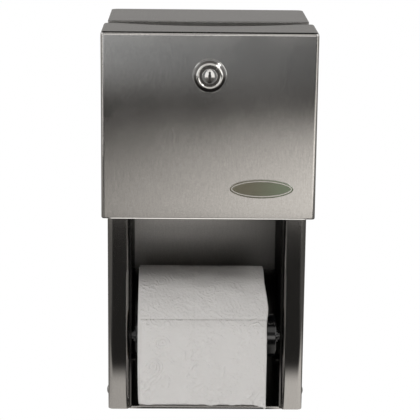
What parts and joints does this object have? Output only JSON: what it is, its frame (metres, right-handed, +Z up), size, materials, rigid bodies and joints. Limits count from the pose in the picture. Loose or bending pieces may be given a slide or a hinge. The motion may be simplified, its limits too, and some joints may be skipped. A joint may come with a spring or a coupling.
{
  "type": "toilet paper dispenser",
  "caption": "Upright wall-mounted toilet paper dispenser in satin steel: a locking cover hides a reserve roll above the open roll in use, both on moulded spindles in slotted tracks.",
  "frame": {"origin": "centre of the four wall screw holes, on the wall plane at the back", "axes": "+Z up, +Y into the wall, the front faces -Y, +X to the right of someone who faces the dispenser"},
  "size_m": [0.152, 0.1489, 0.296],
  "materials": {
    "satin_steel": "satin, upright grain",
    "plain_steel": "plain",
    "spring_steel": "drawn wire",
    "lock_chrome": "polished",
    "black_plastic": "moulded",
    "core_board": "spiral wound",
    "tissue": "embossed"
  },
  "bodies": {
    "cabinet": {"cabinet_shell": "satin_steel", "top_plate": "satin_steel", "bottom_plate": "satin_steel", "roll_track_left": "satin_steel", "roll_track_right": "satin_steel", "lock_strike": "satin_steel", "strike_rivets": "plain_steel", "side_rivets": "plain_steel", "cover_pivot_pins": "plain_steel", "latch_pivots": "plain_steel", "latch_spring_left": "spring_steel", "latch_spring_right": "spring_steel", "paper_tail": "tissue"},
    "cover": {"cover_shell": "satin_steel", "lock_housing": "lock_chrome", "lock_nut": "plain_steel"},
    "lock": {"lock_plug": "lock_chrome", "lock_cam": "plain_steel", "cam_screw": "plain_steel"},
    "latch_left_body": {"latch_left": "plain_steel"},
    "latch_right_body": {"latch_right": "plain_steel"},
    "lower_roll": {"lower_spindle": "black_plastic", "lower_core": "core_board", "lower_paper": "tissue"},
    "reserve_roll": {"reserve_spindle": "black_plastic", "reserve_core": "core_board", "reserve_paper": "tissue"}
  },
  "joints": [
    {"name": "cover_swing", "type": "hinge", "parent": "cabinet", "child": "cover", "pos_m": [0, -0.1365, -0.038], "axis": [1, 0, 0], "range_deg": [0, 150]},
    {"name": "lock_turn", "type": "hinge", "parent": "cover", "child": "lock", "pos_m": [0, -0.146, 0.0574], "axis": [0, -1, 0], "range_deg": [0, 90]},
    {"name": "lower_roll_spin", "type": "hinge", "parent": "cabinet", "child": "lower_roll", "pos_m": [0, -0.086, -0.1516], "axis": [1, 0, 0], "continuous": true},
    {"name": "reserve_roll_spin", "type": "hinge", "parent": "cabinet", "child": "reserve_roll", "pos_m": [0, -0.086, 0.008], "axis": [1, 0, 0], "continuous": true},
    {"name": "latch_left_swing", "type": "hinge", "parent": "cabinet", "child": "latch_left_body", "pos_m": [-0.0592, -0.066, 0.018], "axis": [1, 0, 0], "range_deg": [0, 40], "stiffness_Nm_per_rad": 0.05, "springref_deg": -20.05},
    {"name": "latch_right_swing", "type": "hinge", "parent": "cabinet", "child": "latch_right_body", "pos_m": [0.0592, -0.066, 0.018], "axis": [1, 0, 0], "range_deg": [0, 40], "stiffness_Nm_per_rad": 0.05, "springref_deg": -20.05}
  ]
}
